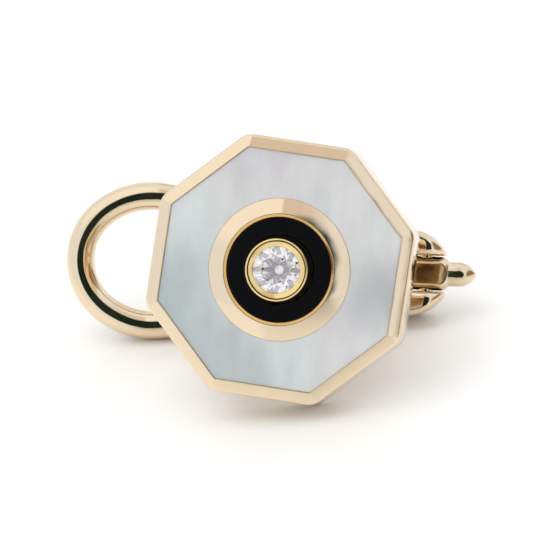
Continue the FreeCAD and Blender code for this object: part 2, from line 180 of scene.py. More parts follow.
def softened(corners, closed=False):
    """Profile through corners (a, b, radius). At each corner an arc of that radius is tangent to both
    runs: it starts radius * tan(half the turn) before the corner and ends as far after it."""
    corners = np.array(corners, float)
    count = len(corners)
    profile = []
    for k in range(count):
        here, radius = corners[k, :2], corners[k, 2]
        at_end = not closed and k in (0, count - 1)
        if at_end or radius == 0:
            profile.append(here)
            continue
        to_before = corners[k - 1, :2] - here
        to_after = corners[(k + 1) % count, :2] - here
        to_before /= np.linalg.norm(to_before)
        to_after /= np.linalg.norm(to_after)
        between = math.acos(np.clip(to_before @ to_after, -1, 1))
        set_back = radius / math.tan(between / 2)
        inwards = to_before + to_after
        centre = here + inwards / np.linalg.norm(inwards) * radius / math.sin(between / 2)
        start = here + to_before * set_back - centre
        end = here + to_after * set_back - centre
        share = np.linspace(0, 1, ARC_STEPS + 1)[:, None]
        turn = math.pi - between
        arc = (np.sin((1 - share) * turn) * start + np.sin(share * turn) * end) / math.sin(turn)
        profile.extend(centre + arc)
    return np.array(profile)


print("points in a softened corner:", ARC_STEPS + 1)

# %% [markdown]
# The tray is an octagon whose outer corners are rounded by the polishing wheel, while the pocket's
# corners are as sharp as the shell that was cut to fit them. Both outlines come from one function, and
# they share their columns, so a rim can be drawn between them without a twist.

# %% Octagons with rounded corners
OCTAGON_TURN = math.radians(-6.0)
HALF_CORNER = math.pi / 8
CORNER_STEPS = 8
SIDE_STEPS = 12


def octagon(half_flats, corner_radius):
    """Outline (right, up) of an octagon. Each corner's arc has its centre on the corner's own ray, and
    each side runs straight from one arc's end to the next arc's start."""
    arc_centre = (half_flats - corner_radius) / math.cos(HALF_CORNER)
    ray = OCTAGON_TURN + HALF_CORNER + np.arange(8)[:, None] * math.pi / 4
    swing = np.linspace(-HALF_CORNER, HALF_CORNER, CORNER_STEPS)[None, :]
    arcs = np.stack(
        [
            arc_centre * np.cos(ray) + corner_radius * np.cos(ray + swing),
            arc_centre * np.sin(ray) + corner_radius * np.sin(ray + swing),
        ],
        -1,
    )
    share = np.linspace(0, 1, SIDE_STEPS + 2)[1:-1, None]
    end = arcs[:, -1:, :]
    start = np.roll(arcs[:, :1, :], -1, axis=0)
    sides = end * (1 - share) + start * share
    return np.concatenate([arcs, sides], 1).reshape(-1, 2)


def octagon_rows(profile, corner_radii):
    """Surface whose row k is the octagon of half-width profile[k, 0] at the depth profile[k, 1]."""
    rows = []
    for (half_flats, depth), radius in zip(profile, corner_radii):
        outline = octagon(half_flats, min(radius, half_flats))
        rows.append(np.stack([outline[:, 0], np.full(len(outline), depth), outline[:, 1]], -1))
    return np.array(rows)


print("points round an octagon:", 8 * (CORNER_STEPS + SIDE_STEPS))

# %% [markdown]
# The octagonal tray. On the real stud it is one casting: an upright wall, a narrow rim that slopes away
# from the shell, and a plate behind. It could be a cut and bevelled prism, but a profile that is carried
# round the octagon gives every edge its own softness. The profile starts at the middle of the back plate,
# goes round the outside, over the rim and down into the pocket, and ends at the pocket's middle, so the
# surface closes on itself at two poles.

# %% The octagonal tray
TRAY_DEPTH = 2.0 * MM
WALL_HALF = 5.10 * MM
RIM_OUTER_DEPTH = 0.225 * MM
RIM_INNER_HALF = 4.62 * MM
POCKET_HALF = 4.60 * MM
POCKET_DEPTH = 1.25 * MM
OUTER_CORNER = 0.80 * MM
POCKET_CORNER = 0.02 * MM

tray_profile = softened(
    [
        (0, TRAY_DEPTH, 0),
        (WALL_HALF, TRAY_DEPTH, 0.14 * MM),
        (WALL_HALF, RIM_OUTER_DEPTH, 0.20 * MM),
        (RIM_INNER_HALF, 0, 0.012 * MM),
        (POCKET_HALF, 0.02 * MM, 0.008 * MM),
        (POCKET_HALF, POCKET_DEPTH, 0),
        (0, POCKET_DEPTH, 0),
    ]
)
outer_share = np.clip((tray_profile[:, 0] - POCKET_HALF) / (WALL_HALF - POCKET_HALF), 0, 1)
behind = np.arange(len(tray_profile)) <= ARC_STEPS + 1
tray_corners = np.where(behind, OUTER_CORNER, POCKET_CORNER + (OUTER_CORNER - POCKET_CORNER) * outer_share)
tray = piece_from_grid("tray", octagon_rows(tray_profile, tray_corners))

# %% [markdown]
# The mother-of-pearl is a flat plate with a round hole. Its front edge has the small bevel that keeps
# shell from chipping. A hole could be cut with a Boolean, but here the rows simply change shape: outside,
# a row is an octagon, and at the hole it is a circle with its points on the same rays. So the front face
# is a plain band between the two.

# %% The shell plate
SHELL_HALF = 4.596 * MM
SHELL_DEPTH = 0.08 * MM
SHELL_BEVEL = 0.02 * MM
SHELL_BACK = 1.23 * MM
SHELL_HOLE_RADIUS = 2.804 * MM

edge_profile = softened(
    [
        (SHELL_HALF, SHELL_BACK, 0),
        (SHELL_HALF, SHELL_DEPTH + SHELL_BEVEL, 0.008 * MM),
        (SHELL_HALF - SHELL_BEVEL, SHELL_DEPTH, 0.008 * MM),
        (SHELL_HALF - 4 * SHELL_BEVEL, SHELL_DEPTH, 0),
    ]
)
outer_rows = octagon_rows(edge_profile, np.full(len(edge_profile), POCKET_CORNER))
ray_angle = np.arctan2(outer_rows[0, :, 2], outer_rows[0, :, 0])
hole_profile = softened(
    [
        (SHELL_HOLE_RADIUS + 4 * SHELL_BEVEL, SHELL_DEPTH, 0),
        (SHELL_HOLE_RADIUS, SHELL_DEPTH, 0.008 * MM),
        (SHELL_HOLE_RADIUS, SHELL_BACK, 0),
    ]
)
hole_rows = np.stack(
    [
        hole_profile[:, 0:1] * np.cos(ray_angle),
        hole_profile[:, 1:2] + 0 * ray_angle,
        hole_profile[:, 0:1] * np.sin(ray_angle),
    ],
    -1,
)
shell = piece_from_grid("shell", np.concatenate([outer_rows, hole_rows]), close_rows=True)

# %% [markdown]
# The collar, the black ring, the setting and the post were all turned on a lathe. Blender's Screw modifier
# or Spin tool could turn them too. A helper of three lines does the same here and keeps the rows in hand,
# which the post's end will need.

# %% Turned surfaces
ROUND_COLUMNS = 192
POCKET_FLOOR = POCKET_DEPTH - 0.02 * MM


def turned(profile, columns):
    """Lathe-turned surface about the face's axis. Row k is a circle of radius profile[k, 0] at the depth
    profile[k, 1]."""
    angle = np.linspace(0, 2 * math.pi, columns, endpoint=False)
    radius, depth = profile[:, 0:1], profile[:, 1:2]
    return np.stack(
        [radius * np.cos(angle), depth + 0 * angle, radius * np.sin(angle)], -1
    )


print("a column every", 360 / ROUND_COLUMNS, "degrees")

# %% [markdown]
# The collar is a ring of gold. Its face slopes up from the shell to a crest and then down, over a narrow
# lip, to the black ring. The profile is closed, so the surface wraps both ways and has no pole.

# %% The collar
COLLAR_OUTER = 2.80 * MM
COLLAR_CREST = 2.19 * MM
COLLAR_INNER = 2.08 * MM
COLLAR_EDGE_DEPTH = 0.06 * MM
COLLAR_CREST_DEPTH = -0.20 * MM
COLLAR_LIP_DEPTH = -0.11 * MM

collar_profile = softened(
    [
        (COLLAR_OUTER, POCKET_FLOOR, 0),
        (COLLAR_OUTER, COLLAR_EDGE_DEPTH, 0.03 * MM),
        (COLLAR_CREST, COLLAR_CREST_DEPTH, 0.04 * MM),
        (COLLAR_INNER, COLLAR_LIP_DEPTH, 0.02 * MM),
        (COLLAR_INNER, POCKET_FLOOR, 0),
    ],
    closed=True,
)
collar = piece_from_grid("collar", turned(collar_profile, ROUND_COLUMNS), close_rows=True)

# %% [markdown]
# The black ring is a flat washer of stone with polished edges. It stands a hair above the rim, so its edge
# catches the light.

# %% The black ring
BLACK_INNER = 1.40 * MM
BLACK_OUTER = 2.06 * MM
BLACK_DEPTH = -0.02 * MM
BLACK_EDGE = 0.03 * MM

black_profile = softened(
    [
        (BLACK_INNER, POCKET_FLOOR, 0),
        (BLACK_INNER, BLACK_DEPTH, BLACK_EDGE),
        (BLACK_OUTER, BLACK_DEPTH, BLACK_EDGE),
        (BLACK_OUTER, POCKET_FLOOR, 0),
    ],
    closed=True,
)
black_ring = piece_from_grid("black_ring", turned(black_profile, ROUND_COLUMNS), close_rows=True)

# %% [markdown]
# The setting is a tapered tube, about a millimetre high. The jeweller cuts a seat in it, lays the stone on
# the seat's cone and pushes the rim over the stone's edge. The profile follows that work: up the outside,
# over the rim, in to the mouth, out into the groove round the girdle, and down the cone.

# %% The setting
SETTING_FOOT = 1.38 * MM
SETTING_RIM = 1.22 * MM
SETTING_MOUTH = 0.92 * MM
SEAT_RADIUS = 1.02 * MM
SEAT_HOLE = 0.50 * MM
SETTING_TOP = -1.02 * MM
LIP_TOP = -0.869 * MM
LIP_BOTTOM = -0.839 * MM
GROOVE_TOP = -0.77 * MM
GROOVE_BOTTOM = -0.67 * MM
CONE_END = -0.221 * MM

setting_profile = softened(
    [
        (SETTING_FOOT, POCKET_FLOOR, 0),
        (SETTING_FOOT, 0, 0),
        (SETTING_RIM, SETTING_TOP, 0.10 * MM),
        (SETTING_MOUTH, LIP_TOP, 0.02 * MM),
        (SETTING_MOUTH, LIP_BOTTOM, 0),
        (SEAT_RADIUS, GROOVE_TOP, 0),
        (SEAT_RADIUS, GROOVE_BOTTOM, 0),
        (SEAT_HOLE, CONE_END, 0),
        (SEAT_HOLE, POCKET_FLOOR, 0),
    ],
    closed=True,
)
setting = piece_from_grid("setting", turned(setting_profile, ROUND_COLUMNS), close_rows=True)

# %% [markdown]
# The post is a flanged foot that is soldered to the back plate, a cove and a slim neck. The other end is
# soldered to the arm, so it follows the arm's round side: the last rows are pulled back to a saddle. The
# neck has many rows, because only points can be pulled.

# %% The post
MECHANISM_DEPTH = 7.4 * MM
SADDLE_RADIUS = 0.62 * MM
FINE_COLUMNS = 96
FOOT_DEPTH = 2.02 * MM
FLANGE_DEPTH = 2.32 * MM
FLANGE_RADIUS = 1.45 * MM
NECK_RADIUS = 0.80 * MM
TAPER_START = np.array([NECK_RADIUS, 5.8 * MM])
TAPER_END = np.array([0.58 * MM, MECHANISM_DEPTH])
taper_share = np.linspace(0, 1, 24)[:, None]
end_share = np.linspace(1, 0, 8)[1:, None]

foot_profile = softened(
    [
        (0, FOOT_DEPTH, 0),
        (FLANGE_RADIUS, FOOT_DEPTH, 0.02 * MM),
        (FLANGE_RADIUS, FLANGE_DEPTH, 0.10 * MM),
        (NECK_RADIUS, FLANGE_DEPTH, 0.50 * MM),
        (NECK_RADIUS, 5.6 * MM, 0),
    ]
)
taper_profile = TAPER_START + taper_share * (TAPER_END - TAPER_START)
end_profile = TAPER_END * np.concatenate([end_share, np.ones_like(end_share)], 1)
post_profile = np.concatenate([foot_profile, taper_profile, end_profile])

post_points = turned(post_profile, FINE_COLUMNS)
saddle_depth = MECHANISM_DEPTH - np.sqrt(np.maximum(SADDLE_RADIUS**2 - post_points[..., 2] ** 2, 0))
post_points[..., 1] = np.minimum(post_points[..., 1], saddle_depth)
post = piece_from_grid("post_stem", post_points)

# %% [markdown]
# The arm, its barrel and its nose are one turned bar: a round tail, a shoulder, the barrel's round end and
# a bullet-shaped nose. The rounds are arcs through three points, as on a drawing. So the first step is a
# helper for such an arc, and the sizes of the bar.

# %% The arm's sizes and arcs
ARM_TAIL = -1.1 * MM
ARM_RADIUS = 0.60 * MM
BARREL_START = 3.45 * MM
BARREL_RADIUS = 0.68 * MM
BARREL_ROUND = 0.42 * MM
BARREL_END = 5.9 * MM
FLAT_START = 4.0 * MM
FLAT_HALF_DEPTH = 0.52 * MM
NOSE_RADIUS = 0.49 * MM
NOSE_START = 6.18 * MM
NOSE_TIP = 6.899 * MM
NOSE_MIDDLE_RADIUS = 0.412 * MM
NOSE_TIP_FLAT = 0.05 * MM
ROUND_STEPS = 14


def arc_through(first, middle, last):
    """Arc through three points (radius, place): its centre is as far from each, and the angle runs
    evenly from the first to the last by way of the middle one."""
    first, middle, last = np.array([first, middle, last], float)
    across = np.array([middle - first, last - first])
    centre = first + np.linalg.solve(2 * across, (across**2).sum(1))
    spokes = np.array([first, middle, last]) - centre
    angles = np.unwrap(np.arctan2(spokes[:, 1], spokes[:, 0]))
    angle = np.linspace(angles[0], angles[2], ROUND_STEPS)[:, None]
    return centre + np.linalg.norm(spokes[0]) * np.concatenate([np.cos(angle), np.sin(angle)], 1)


print("arm from end to end, mm:", round((NOSE_TIP - ARM_TAIL) / MM, 1))

# %% [markdown]
# One profile gives the whole bar. The bar lies along the stud's own right-hand axis, so the grid is the
# lathe's with two axes exchanged. Last, the barrel is filed flat in front and behind: there every depth is
# held to the flats, which is what a file does.

# %% The arm with its barrel and nose
tail_centre = ARM_TAIL + ARM_RADIUS
tail_side = ARM_RADIUS * math.sqrt(0.5)
nose_middle = 0.5 * (NOSE_START + NOSE_TIP)
round_place = BARREL_END - BARREL_ROUND
round_radius = BARREL_RADIUS - BARREL_ROUND
nose_angle = math.asin((NOSE_RADIUS - round_radius) / BARREL_ROUND)
middle_angle = (math.pi / 2 + nose_angle) / 2


def on_round(angle):
    """Point (radius, place) on the round of the barrel's end."""
    return round_radius + BARREL_ROUND * math.sin(angle), round_place + BARREL_ROUND * math.cos(angle)


places_before_flat = np.linspace(BARREL_START + 0.1 * MM, FLAT_START, 4)
arm_profile = np.concatenate(
    [
        arc_through((0, ARM_TAIL), (tail_side, tail_centre - tail_side), (ARM_RADIUS, tail_centre)),
        [(ARM_RADIUS, BARREL_START), (BARREL_RADIUS - 0.01 * MM, BARREL_START + 0.07 * MM)],
        [(BARREL_RADIUS, place) for place in places_before_flat],
        [(BARREL_RADIUS, FLAT_START + 0.001 * MM)],
        arc_through((BARREL_RADIUS, round_place), on_round(middle_angle), on_round(nose_angle)),
        arc_through((NOSE_RADIUS, NOSE_START), (NOSE_MIDDLE_RADIUS, nose_middle), (NOSE_TIP_FLAT, NOSE_TIP)),
        [(0, NOSE_TIP)],
    ]
)
arm_points = turned(arm_profile, FINE_COLUMNS)[..., [1, 0, 2]]
on_flat = (arm_points[..., 0] > FLAT_START) & (arm_points[..., 0] < BARREL_END)
held = np.clip(arm_points[..., 1], -FLAT_HALF_DEPTH, FLAT_HALF_DEPTH)
arm_points[..., 1] = np.where(on_flat, held, arm_points[..., 1]) + MECHANISM_DEPTH
arm = piece_from_grid("arm_and_nose", arm_points)

# %% [markdown]
# The loop is one piece of wire. Its round end is drawn with two radii, like the end of an oval, then two
# straight legs close in towards the hinge. There the wire was flattened into two lugs. A curve with a
# bevel would give the wire but not the lugs, so the loop is one sweep on a grid. First come the sizes, and
# the places where the two arcs and the straight leg meet.

# %% The loop's sizes
WIRE_RADIUS = 0.558 * MM
LOOP_END = -9.5 * MM
END_RADIUS = 2.4 * MM
SIDE_RADIUS = 3.1 * MM
END_SWEEP = math.radians(50)
LEG_END = np.array([4.2, 1.20]) * MM
NECK = 1.3 * MM
LUG_INNER = 0.71 * MM
LUG_DOME = 1.72 * MM
LUG_HALF_DEPTH = 0.80 * MM
LUG_CORNER = 0.30 * MM
PIN_X = 4.9 * MM

end_centre = np.array([LOOP_END + WIRE_RADIUS + END_RADIUS, 0])
side_start = math.pi - END_SWEEP
side_centre = end_centre - (SIDE_RADIUS - END_RADIUS) * np.array([math.cos(side_start), math.sin(side_start)])
to_leg_end = LEG_END - side_centre
touch = math.atan2(to_leg_end[1], to_leg_end[0]) + math.acos(SIDE_RADIUS / np.linalg.norm(to_leg_end))
touch_point = side_centre + SIDE_RADIUS * np.array([math.cos(touch), math.sin(touch)])
leg_length = np.linalg.norm(touch_point - LEG_END)
neck_start = LEG_END + (touch_point - LEG_END) * NECK / leg_length
lug_root = np.array([LEG_END[0], (LUG_INNER + LUG_DOME) / 2])
print("straight part of a leg, mm:", round(leg_length / MM, 1))

# %% [markdown]
# The centre line is put together from runs. Each run gives its points, and at each point the angle that
# looks out of the loop, across the wire. Along the lug the line lies midway between the lug's inner face
# and its round outline.

# %% The loop's centre line


def arc_run(centre, radius, start, end, count):
    """Points and outward angles along an arc: centre plus radius times (cos, sin) of the angle."""
    angle = np.linspace(start, end, count, endpoint=False)
    return centre + radius * np.stack([np.cos(angle), np.sin(angle)], -1), angle


def straight_run(start, end, start_angle, end_angle, count):
    """Points from start to end, with the outward angle turning evenly from one value to the other."""
    share = np.linspace(0, 1, count, endpoint=False)
    return start + share[:, None] * (end - start), start_angle + share * (end_angle - start_angle)


LUG_ROWS = 40
lug_share = np.linspace(0, 1, LUG_ROWS)
lug_reach = PIN_X + LUG_HALF_DEPTH - LEG_END[0]
lug_x = LEG_END[0] + lug_reach * np.sin(lug_share * math.pi / 2)
lug_outer = np.sqrt(np.maximum(LUG_DOME**2 - (lug_x - LEG_END[0]) ** 2, LUG_INNER**2))
lug_points = np.stack([lug_x, (LUG_INNER + lug_outer) / 2], -1)

runs = [
    arc_run(end_centre, END_RADIUS, math.pi, side_start, 40),
    arc_run(side_centre, SIDE_RADIUS, side_start, touch, 40),
    straight_run(touch_point, neck_start, touch, touch, 24),
    straight_run(neck_start, lug_root, touch, math.pi / 2, 24),
    (lug_points, np.full(LUG_ROWS, math.pi / 2)),
]
line = np.concatenate([points for points, _ in runs])
outward = np.concatenate([angles for _, angles in runs])
print("wire's centre line, mm:", round(2 * np.linalg.norm(np.diff(line, axis=0), axis=1).sum() / MM, 1))

# %% [markdown]
# Along the wire the section's half-sizes stay at the wire's radius. Along the neck they ease into the
# lug's. Along the lug they follow two circles: the round of the lug's end seen from above, and the round
# outline that both lugs share when they are seen from the front.

# %% The loop's sections
neck_rows = len(runs[3][0])
wire_rows = len(line) - neck_rows - LUG_ROWS
ease = np.linspace(0, 1, neck_rows)
ease = ease * ease * (3 - 2 * ease)
lug_half_height = (lug_outer - LUG_INNER) / 2
past_pin = np.maximum(lug_x - PIN_X, 0)
lug_half_depth = np.sqrt(np.maximum(LUG_HALF_DEPTH**2 - past_pin**2, 0))


def along_loop(wire_value, lug_values):
    """One value a row: constant along the wire, eased along the neck, then the lug's own values."""
    neck = wire_value + ease * (lug_values[0] - wire_value)
    return np.concatenate([np.full(wire_rows, wire_value), neck, lug_values])


half_height = along_loop(WIRE_RADIUS, lug_half_height)
half_depth = along_loop(WIRE_RADIUS, lug_half_depth)
corner = along_loop(WIRE_RADIUS, np.full(LUG_ROWS, LUG_CORNER))
corner = np.minimum(corner, np.minimum(half_height, half_depth))
print("rows from the loop's middle to a lug's end:", len(line))

# %% [markdown]
# Now the rows can be drawn. Half of the loop is made, and the other half is the same with the up coordinate
# turned over, so both lugs are alike. The two halves share their middle row.

# %% The loop's mesh
SECTION_STEPS = 48


def loop_surface(side):
    """Half of the loop, from the middle of its round end to a lug. Each row is a rounded rectangle:
    a corner's centre plus the corner radius times (cos, sin), across the centre line."""
    angle = (np.arange(SECTION_STEPS) + 0.5) * 2 * math.pi / SECTION_STEPS
    across = np.sign(np.cos(angle)) * (half_height - corner)[:, None] + corner[:, None] * np.cos(angle)
    deep = np.sign(np.sin(angle)) * (half_depth - corner)[:, None] + corner[:, None] * np.sin(angle)
    x = line[:, 0:1] + across * np.cos(outward)[:, None]
    z = line[:, 1:2] + across * np.sin(outward)[:, None]
    return np.stack([x, MECHANISM_DEPTH + deep, side * z], -1)


upper = loop_surface(1)
lower = loop_surface(-1)[::-1]
loop = piece_from_grid("wire_loop", np.concatenate([lower[:-1], upper]))

# %% [markdown]
# The lugs and the barrel are drilled for the pin, which runs loosely in the lugs and is pressed into the
# barrel. A Boolean modifier cuts each hole with a plain cylinder, and the result is stored as the piece's
# own mesh, so nothing live is left on it.

# %% The bores for the pin
LUG_BORE = 0.33 * MM
BARREL_BORE = 0.31 * MM
BORE_SIDES = 48


def drilled(piece, x, depth, radius, reach):
    """Cuts a hole of that radius along the stud's upward axis through the piece, and keeps the result."""
    angle = np.linspace(0, 2 * math.pi, BORE_SIDES, endpoint=False)
    ring = np.stack([x + radius * np.cos(angle), depth + radius * np.sin(angle), 0 * angle], -1)
    ends = np.array([[x, depth, -reach], [x, depth, reach]])
    rows = np.stack(
        [
            np.broadcast_to(ends[0], ring.shape),
            ring + [0, 0, -reach],
            ring + [0, 0, reach],
            np.broadcast_to(ends[1], ring.shape),
        ]
    )
    drill = piece_from_grid("drill", rows)
    cut = piece.modifiers.new("bore", "BOOLEAN")
    cut.object = drill
    cut.operation = "DIFFERENCE"
    cut.solver = "EXACT"
    bpy.context.view_layer.update()
    evaluated = piece.evaluated_get(bpy.context.evaluated_depsgraph_get())
    mesh = bpy.data.meshes.new_from_object(evaluated)
    piece.modifiers.clear()
    piece.data = mesh
    bpy.data.objects.remove(drill)
    mesh.shade_smooth()
    mesh.set_sharp_from_angle(angle=SHARP_ANGLE)
    print(f"{piece.name}: {len(mesh.polygons)} faces after drilling")


drilled(loop, PIN_X, MECHANISM_DEPTH, LUG_BORE, 2 * LUG_DOME)
drilled(arm, PIN_X, MECHANISM_DEPTH, BARREL_BORE, 2 * LUG_DOME)

# %% [markdown]
# Each piece now moves with its CAD body and stands for its CAD node. The stone and the pin stay as the
# CAD made them: facets and a plain pin are already exact there.

# %% Pieces on their bodies
for piece, node, body, slot in [
    (tray, "octagon_frame", "stud", "pale_gold"),
    (shell, "shell_inlay", "stud", "shell"),
    (collar, "ring_collar", "stud", "pale_gold"),
    (black_ring, "onyx_ring", "stud", "onyx"),
    (setting, "stone_setting", "stud", "yellow_gold"),
    (post, "post", "stud", "pale_gold"),
    (arm, "nose_arm", "stud", "pale_gold"),
    (loop, "loop", "loop", "pale_gold"),
]:
    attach(piece, body)
    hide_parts(node)
    low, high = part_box(node)
    mine = np.array([v.co for v in piece.data.vertices])
    gap = max(np.abs(mine.min(0) - low).max(), np.abs(mine.max(0) - high).max())
    print(f"{piece.name} for {node}: boxes differ by {gap / MM:.3f} mm at most")
stone = frame["nodes"]["stone"]
pin = frame["nodes"]["hinge_pin"]

# %% [markdown]
# Materials. All patterns are worked out in the stud's own axes and in millimetres, so one helper makes
# those coordinates: a Mapping node of type Texture takes away the face's place, undoes the lean and
# divides by a millimetre. Object coordinates ride with each piece, so a pattern stays put when the loop
# swings.

# %% Helpers for materials
stud_turn = Matrix([rightwards, -out_of_face, upwards]).transposed().to_euler()


def add(tree, kind, settings=None, **values):
    """A node of that kind. Settings are its properties; values go to its inputs by name, and a value
    that is a socket is linked."""
    made = tree.nodes.new(kind)
    for key, value in (settings or {}).items():
        setattr(made, key, value)
    for key, value in values.items():
        socket = made.inputs[key.replace("_", " ")]
        if isinstance(value, bpy.types.NodeSocket):
            tree.links.new(value, socket)
        else:
            socket.default_value = value
    return made


def stud_coordinates(tree):
    """Object coordinates turned into the stud's own axes, in millimetres."""
    place = tree.nodes.new("ShaderNodeTexCoord").outputs["Object"]
    mapping = add(tree, "ShaderNodeMapping", {"vector_type": "TEXTURE"}, Vector=place)
    mapping.inputs["Location"].default_value = face_centre
    mapping.inputs["Rotation"].default_value = stud_turn
    mapping.inputs["Scale"].default_value = (MM, MM, MM)
    return mapping.outputs["Vector"]


def new_material(name):
    """An empty material and its surface shader."""
    made = bpy.data.materials.new(name)
    made.use_nodes = True
    surface = made.node_tree.nodes["Principled BSDF"]
    return made, made.node_tree, surface


print("turn of the stud's axes, degrees:", [round(math.degrees(angle), 1) for angle in stud_turn])

# %% [markdown]
# Polished gold is never a perfect mirror. Two things give it away: the wheel leaves the surface very
# slightly uneven, which bends the reflections, and handling leaves hairline scratches and faint smudges.
# One node group makes all three as a height and a smudge mask, and each metal uses it with its own
# amounts. The group's sockets come first.

# %% The hand-polish group
hand_polish = bpy.data.node_groups.new("hand_polish", "ShaderNodeTree")
hand_polish.interface.new_socket("Place", in_out="INPUT", socket_type="NodeSocketVector")
for name in ("Waviness", "Scratches"):
    hand_polish.interface.new_socket(name, in_out="INPUT", socket_type="NodeSocketFloat")
for name in ("Height", "Smudge"):
    hand_polish.interface.new_socket(name, in_out="OUTPUT", socket_type="NodeSocketFloat")

group_in = hand_polish.nodes.new("NodeGroupInput")
group_out = hand_polish.nodes.new("NodeGroupOutput")
place = group_in.outputs["Place"]
print("hand polish gives:", ", ".join(socket.name for socket in group_out.inputs if socket.name))

# %% [markdown]
# The height is a slow wave plus hairlines. Hairlines are a noise on places that are stretched fourteen
# times in two directions, so it hardly changes along the third.

# %% The waves and the hairlines
wave = add(hand_polish, "ShaderNodeTexNoise", Vector=place, Scale=0.9, Detail=1.0)
wave_height = add(hand_polish, "ShaderNodeMath", {"operation": "MULTIPLY"})
hand_polish.links.new(wave.outputs["Fac"], wave_height.inputs[0])
hand_polish.links.new(group_in.outputs["Waviness"], wave_height.inputs[1])
stretched = add(
    hand_polish, "ShaderNodeMapping", Vector=place, Scale=(1.0, 14.0, 14.0), Rotation=(0.3, 0.5, 0.9)
)
hairlines = add(hand_polish, "ShaderNodeTexNoise", Vector=stretched.outputs["Vector"], Scale=2.2, Detail=5.0)
hair_height = add(hand_polish, "ShaderNodeMath", {"operation": "MULTIPLY"})
hand_polish.links.new(hairlines.outputs["Fac"], hair_height.inputs[0])
hand_polish.links.new(group_in.outputs["Scratches"], hair_height.inputs[1])
height = add(hand_polish, "ShaderNodeMath", {"operation": "ADD"})
hand_polish.links.new(wave_height.outputs[0], height.inputs[0])
hand_polish.links.new(hair_height.outputs[0], height.inputs[1])
hand_polish.links.new(height.outputs[0], group_out.inputs["Height"])
print("hand polish nodes:", len(hand_polish.nodes))

# %% [markdown]
# Smudges are soft patches: a noise whose upper half is kept. With the group finished, one function makes
# a gold from a colour and the amounts of each effect.

# %% The smudges and a polished metal
patches = add(hand_polish, "ShaderNodeTexNoise", Vector=place, Scale=0.55, Detail=4.0, Roughness=0.6)
smudge = add(hand_polish, "ShaderNodeMapRange", Value=patches.outputs["Fac"], From_Min=0.42, From_Max=0.72)
hand_polish.links.new(smudge.outputs["Result"], group_out.inputs["Smudge"])


def polished_metal(name, colour, smooth, smudged, waviness, scratches, lift):
    """Gold of one colour: roughness runs from smooth to smudged, and lift is the height in metres."""
    made, tree, surface = new_material(name)
    wear = add(tree, "ShaderNodeGroup", {"node_tree": hand_polish})
    tree.links.new(stud_coordinates(tree), wear.inputs["Place"])
    wear.inputs["Waviness"].default_value = waviness
    wear.inputs["Scratches"].default_value = scratches
    rough = add(
        tree, "ShaderNodeMapRange", Value=wear.outputs["Smudge"], To_Min=smooth, To_Max=smudged
    )
    bump = add(tree, "ShaderNodeBump", Height=wear.outputs["Height"], Distance=lift, Strength=1.0)
    tree.links.new(rough.outputs["Result"], surface.inputs["Roughness"])
    tree.links.new(bump.outputs["Normal"], surface.inputs["Normal"])
    surface.inputs["Base Color"].default_value = (*colour, 1)
    surface.inputs["Metallic"].default_value = 1.0
    return made


print("hand polish nodes with the smudges:", len(hand_polish.nodes))

# %% [markdown]
# The stud has two golds: the tray, the collar and the whole back are a pale champagne gold, and the
# setting round the stone is yellower.

# %% The two golds
pale_gold = polished_metal("pale_gold", (0.84, 0.69, 0.49), 0.05, 0.13, 1.0, 0.05, 0.020 * MM)
yellow_gold = polished_metal("yellow_gold", (0.86, 0.64, 0.30), 0.06, 0.13, 1.0, 0.05, 0.015 * MM)
for piece in (tray, collar, post, arm, loop):
    piece.data.materials.append(pale_gold)
setting.data.materials.append(yellow_gold)
pin.data.materials[0] = pale_gold
print("golds:", pale_gold.name, "and", yellow_gold.name)

# %% [markdown]
# Mother-of-pearl is built of thin layers. Seen from the front it has soft clouds of grey, blue-grey and
# greenish white that melt into one another, fine silky lines across them, and a clear polish. A picture
# could give all this, but a worked-out pattern has no edge and no seam. It needs two small helpers: a
# noise on turned and stretched places, and a mix of two colours.

# %% Noise and mixing
step_smoothly = {"interpolation_type": "SMOOTHSTEP"}


def noise(tree, place, scale, detail=2.0, stretch=(1, 1, 1), turn=(0, 0, 0), offset=(0, 0, 0)):
    """Noise from 0 to 1 on places that are turned and then stretched."""
    mapping = add(tree, "ShaderNodeMapping", Vector=place, Scale=stretch, Rotation=turn, Location=offset)
    texture = add(tree, "ShaderNodeTexNoise", Vector=mapping.outputs["Vector"], Scale=scale, Detail=detail)
    return texture.outputs["Fac"]


def blend(tree, factor, first, second):
    """Two colours mixed by a factor. Each of the three may be a value or a socket."""
    mix = add(tree, "ShaderNodeMix", {"data_type": "RGBA"})
    for socket, value in ((mix.inputs[0], factor), (mix.inputs[6], first), (mix.inputs[7], second)):
        if isinstance(value, bpy.types.NodeSocket):
            tree.links.new(value, socket)
        else:
            socket.default_value = value
    return mix.outputs[2]


print("materials so far:", len(bpy.data.materials))

# %% [markdown]
# The shell's tints. They are close to one another, because a real plate is cut from one shell: the clouds
# show more in hue than in lightness. A large noise, with a slow drift from the lower left to the upper
# right, picks the tint from a colour ramp.

# %% The shell's tints and clouds
SILVER = (0.635, 0.637, 0.645, 1)
LILAC = (0.590, 0.582, 0.612, 1)
BLUE_GREY = (0.445, 0.500, 0.512, 1)
GREENISH_WHITE = (0.610, 0.665, 0.665, 1)
DRIFT = (0.055, 0.0, 0.050)
CLOUD_CONTRAST = 1.15

